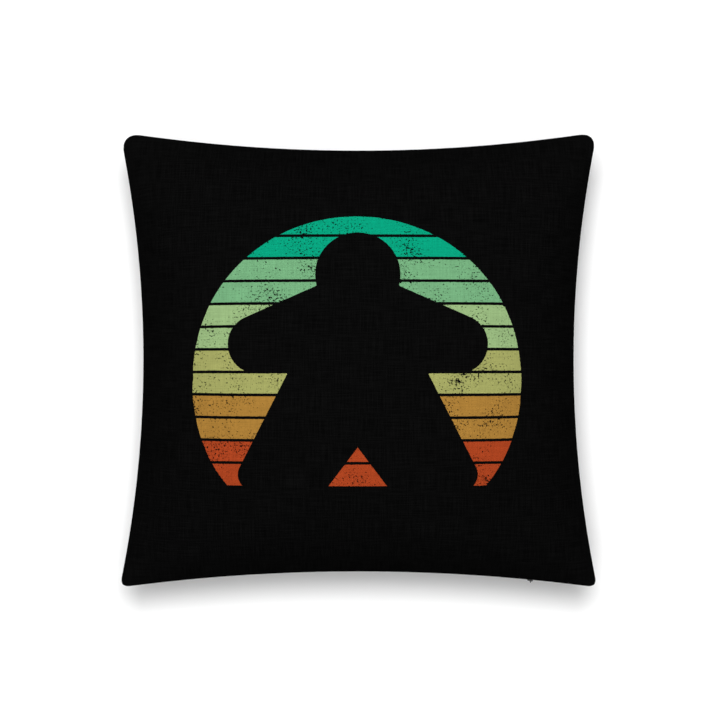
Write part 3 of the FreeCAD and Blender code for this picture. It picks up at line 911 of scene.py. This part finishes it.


# ---- Zipper stops, slider, ring and pull ---------------------------------------------------
# Die-cast and stamped zinc, painted satin black. Handling rounds the edges and rubs the paint
# thin in small scuffs scattered over it. The pull hangs from the slider's ring, outside the slit.

def build_paint():
    """Satin black paint: its colour, roughness and fine orange peel."""
    tree, given, out = new_group(
        "Zip paint", [("Place", "NodeSocketVector", None), ("Rub", "NodeSocketFloat", 0.5)],
        [("Color", "NodeSocketColor"), ("Roughness", "NodeSocketFloat"),
         ("Height", "NodeSocketFloat")])
    smear = noise(tree, given["Place"], 350.0, 4.0)
    scuffs = ramp(tree, noise(tree, given["Place"], 1500.0, 4.0, 0.65),
                  calc(tree, "SUBTRACT", 0.86, calc(tree, "MULTIPLY", given["Rub"], 0.2)), 0.85)
    plug(tree, mix_colours(tree, scuffs, (0.008, 0.008, 0.0085, 1), (0.11, 0.108, 0.10, 1)),
         out["Color"])
    plug(tree, calc(tree, "MULTIPLY_ADD", smear, 0.28, 0.26), out["Roughness"])
    plug(tree, noise(tree, given["Place"], 4200.0, 1.0), out["Height"])
    return tree


ZIP_PAINT = build_paint()


def painted_metal(name, rub):
    material, tree, shader = new_material(name, Metallic=0.25, Specular_IOR_Level=0.5,
                                          Coat_Weight=0.15)
    place = add_node(tree, "ShaderNodeTexCoord").outputs["Object"]
    paint = place_group(tree, ZIP_PAINT, Place=place, Rub=rub)
    plug(tree, paint["Color"], shader["Base Color"])
    plug(tree, paint["Roughness"], shader["Roughness"])
    bump(tree, shader, paint["Height"], 0.02 * MM)
    return material


def eased_copy(name, node, body, ease, material):
    """A moving part with its edges eased, in place of the sharp-edged one."""
    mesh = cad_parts[node].data.copy()
    shape = bmesh.new()
    shape.from_mesh(mesh)
    bmesh.ops.remove_doubles(shape, verts=shape.verts, dist=0.001 * MM)
    bmesh.ops.dissolve_limit(shape, angle_limit=math.radians(1.5), verts=shape.verts,
                             edges=shape.edges)
    bmesh.ops.recalc_face_normals(shape, faces=shape.faces)
    shape.to_mesh(mesh)
    shape.free()
    mesh.name = name
    mesh.materials.clear()
    mesh.materials.append(material)
    piece = new_object(name, mesh)
    soften = piece.modifiers.new("Eased edges", "BEVEL")
    soften.width, soften.segments = ease, 2
    soften.limit_method, soften.angle_limit = "ANGLE", math.radians(38)
    shade_smooth(mesh)
    mesh.set_sharp_from_angle(angle=math.radians(30))
    stand_in(piece, body, node)


SLIDER_PAINT = painted_metal("slider paint", 0.6)
PULL_PAINT = painted_metal("pull paint", 0.8)
STOP_METAL = painted_metal("stop paint", 0.2)
for end in ("top", "bottom"):
    eased_copy(f"zip_{end}_stop", f"zipper_{end}_stop", "cushion", 0.1 * MM, STOP_METAL)
eased_copy("zip_slider", "zipper_slider", "slider", 0.09 * MM, SLIDER_PAINT)
eased_copy("zip_pull", "zipper_pull", "pull", 0.2 * MM, PULL_PAINT)
ring_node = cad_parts["zipper_ring"]
ring_node.data.materials.clear()
ring_node.data.materials.append(PULL_PAINT)


# ---- Insert --------------------------------------------------------------------------------
# A white cotton casing full of polyester fibre, with its own sewn rim. It can be taken out
# through the zipper. Its shape is the cover's, a little smaller all round.

INSERT_INSET = 16.0 * MM
CASING = 0.4 * MM
INSERT_SHRINK = 3.2 * MM             # between the cover's crowns and the insert's
FILL_GAP, FILL_SHARE = 1.5 * MM, 0.994       # how much smaller the filling is than its casing
TUFT = 1.2 * MM
coarse = slice(None, None, 2)         # every second row is enough for what lies inside


def inner_surface(simulated, side, shrink):
    """A panel's shape brought in to the insert's rim, on every second row."""
    outer = shape_panel(simulated, side)[coarse, coarse]
    plan = outer[:, :, :2] * (1 - INSERT_INSET / HALF_WIDTH)
    height = np.abs(outer[:, :, 2] - SEAM_Z)
    closeness = np.clip(height / height.max(), 0, 1)
    height = np.maximum(height - SEAM_RISE - (shrink + INSERT_SHRINK) * np.sqrt(closeness), 0)
    height[0], height[-1], height[:, 0], height[:, -1] = 0, 0, 0, 0
    return np.concatenate([plan, (SEAM_Z + side * height)[:, :, None]], 2)


def soft_white(name, colour, yarn):
    material, tree, shader = new_material(
        name, Roughness=0.9, Specular_IOR_Level=0.2, Sheen_Weight=0.1)
    weave = place_group(tree, WEAVE, Place=own_uv(tree), Yarn=yarn, Slub=0.12)
    shade = calc(tree, "MULTIPLY_ADD", weave["Shade"], 0.25, 0.72)
    plug(tree, mix_colours(tree, 1.0, colour, shade, "MULTIPLY"), shader["Base Color"])
    bump(tree, shader, weave["Height"], 0.08 * MM)
    return material


def build_casing(name, simulated, side, node):
    grid = inner_surface(simulated, side, 0.0)
    index = np.arange(grid.shape[0] * grid.shape[1]).reshape(grid.shape[:2])
    faces = squares(index)
    mesh = new_mesh(name, grid.reshape(-1, 3), faces if side > 0 else faces[:, ::-1])
    lay_flat(mesh, cut_plan[coarse, coarse].reshape(-1, 2))
    shade_smooth(mesh)
    casing = new_object(name, mesh)
    thicken(casing, CASING, -1)
    casing.data.materials.append(CASING_COTTON)
    stand_in(casing, "cushion", node)


def build_fill():
    """Fibre filling: both crowns closed into one soft body with an uneven surface."""
    front = inner_surface(front_cloth, 1, FILL_GAP)
    back = inner_surface(back_cloth, -1, FILL_GAP)
    side = front.shape[0]
    edge = np.zeros((side, side), bool)
    edge[[0, -1], :] = True
    edge[:, [0, -1]] = True
    top_index = np.arange(side * side).reshape(side, side)
    under_index = top_index.copy()
    under_index[~edge] = side * side + np.arange((~edge).sum())
    points = np.concatenate([front.reshape(-1, 3), back[~edge]])
    points[:, :2] *= FILL_SHARE
    tufts = np.random.default_rng(3).uniform(0.0, TUFT, len(points))
    points[:, 2] = SEAM_Z + np.sign(points[:, 2] - SEAM_Z) * np.maximum(
        np.abs(points[:, 2] - SEAM_Z) - tufts, 0)
    faces = np.concatenate([squares(top_index), squares(under_index)[:, ::-1]])
    mesh = new_mesh("fibre_fill", points, faces)
    shade_smooth(mesh)
    fill = new_object("fibre_fill", mesh)
    finer = fill.modifiers.new("Finer", "SUBSURF")
    finer.levels = finer.render_levels = 1
    material, tree, shader = new_material(
        "polyester fibre", Roughness=0.95, Specular_IOR_Level=0.2, Sheen_Weight=0.3)
    place = add_node(tree, "ShaderNodeTexCoord").outputs["Object"]
    strands = noise(tree, place, 420.0, 6.0, 0.7)
    plug(tree, mix_colours(tree, strands, (0.72, 0.72, 0.71, 1), (0.93, 0.93, 0.92, 1)),
         shader["Base Color"])
    bump(tree, shader, strands, 1.0 * MM)
    fill.data.materials.append(material)
    stand_in(fill, "cushion", "insert_fill")


CASING_COTTON = soft_white("white cotton", (0.85, 0.85, 0.83, 1), 0.4 * MM)
build_fill()
build_casing("insert_casing_front", front_cloth, 1, "insert_front")
build_casing("insert_casing_back", back_cloth, -1, "insert_back")
insert_seam = seam_path(INSERT_INSET - 0.3 * MM, SEAM_Z, 0)
insert_stitches = run_tree("insert_stitches", insert_seam, LOCKSTITCH, {
    "Pitch": 3.2 * MM, "Thread": 0.3 * MM, "Half Seam": 0.45 * MM,
    "Material": thread_material("white thread", (0.85, 0.85, 0.83, 1), 0.3)})
stand_in(insert_stitches, "cushion", "insert_thread")


# ---- Studio --------------------------------------------------------------------------------
# The pillow lies on a plain white floor, seen from straight above. Soft light falls mostly from
# beyond its top edge.

floor_shape = bmesh.new()
bmesh.ops.create_grid(floor_shape, x_segments=1, y_segments=1, size=6.0)
floor_mesh = bpy.data.meshes.new("floor")
floor_shape.to_mesh(floor_mesh)
floor_shape.free()
floor = new_object("floor", floor_mesh)
floor_material, _, _ = new_material("white floor", Base_Color=(0.93, 0.93, 0.93, 1), Roughness=0.9,
                                    Specular_IOR_Level=0.1)
floor.data.materials.append(floor_material)

world = bpy.data.worlds.new("studio")
world.use_nodes = True
world.node_tree.nodes["Background"].inputs["Color"].default_value = (1, 1, 1, 1)
world.node_tree.nodes["Background"].inputs["Strength"].default_value = 0.08
bpy.context.scene.world = world
bpy.context.scene.view_settings.view_transform = "Standard"


def soft_box(name, place, size, power):
    lamp = bpy.data.lights.new(name, "AREA")
    lamp.shape, lamp.size, lamp.energy = "DISK", size, power
    holder = new_object(name, lamp)
    holder.location = place
    aim = Vector((0, 0, SEAM_Z)) - Vector(place)
    holder.rotation_euler = aim.to_track_quat("-Z", "Y").to_euler()


soft_box("key light", (0.0, 0.85, 2.7), 1.5, 64.0)
soft_box("fill light", (-0.9, -0.8, 2.6), 1.8, 14.0)
soft_box("overhead light", (0.0, 0.0, 3.7), 4.0, 80.0)

CAMERA_HEIGHT = 3.0                  # above the seam
VIEW_WIDTH = 0.6922                  # seen from side to side at the seam's height
AIM = (1.45 * MM, 1.2 * MM)          # the point that the camera looks down on
camera = bpy.data.cameras.new("camera")
camera.lens = camera.sensor_width * CAMERA_HEIGHT / VIEW_WIDTH
camera_holder = new_object("camera", camera)
camera_holder.location = (*AIM, SEAM_Z + CAMERA_HEIGHT)
bpy.context.scene.camera = camera_holder
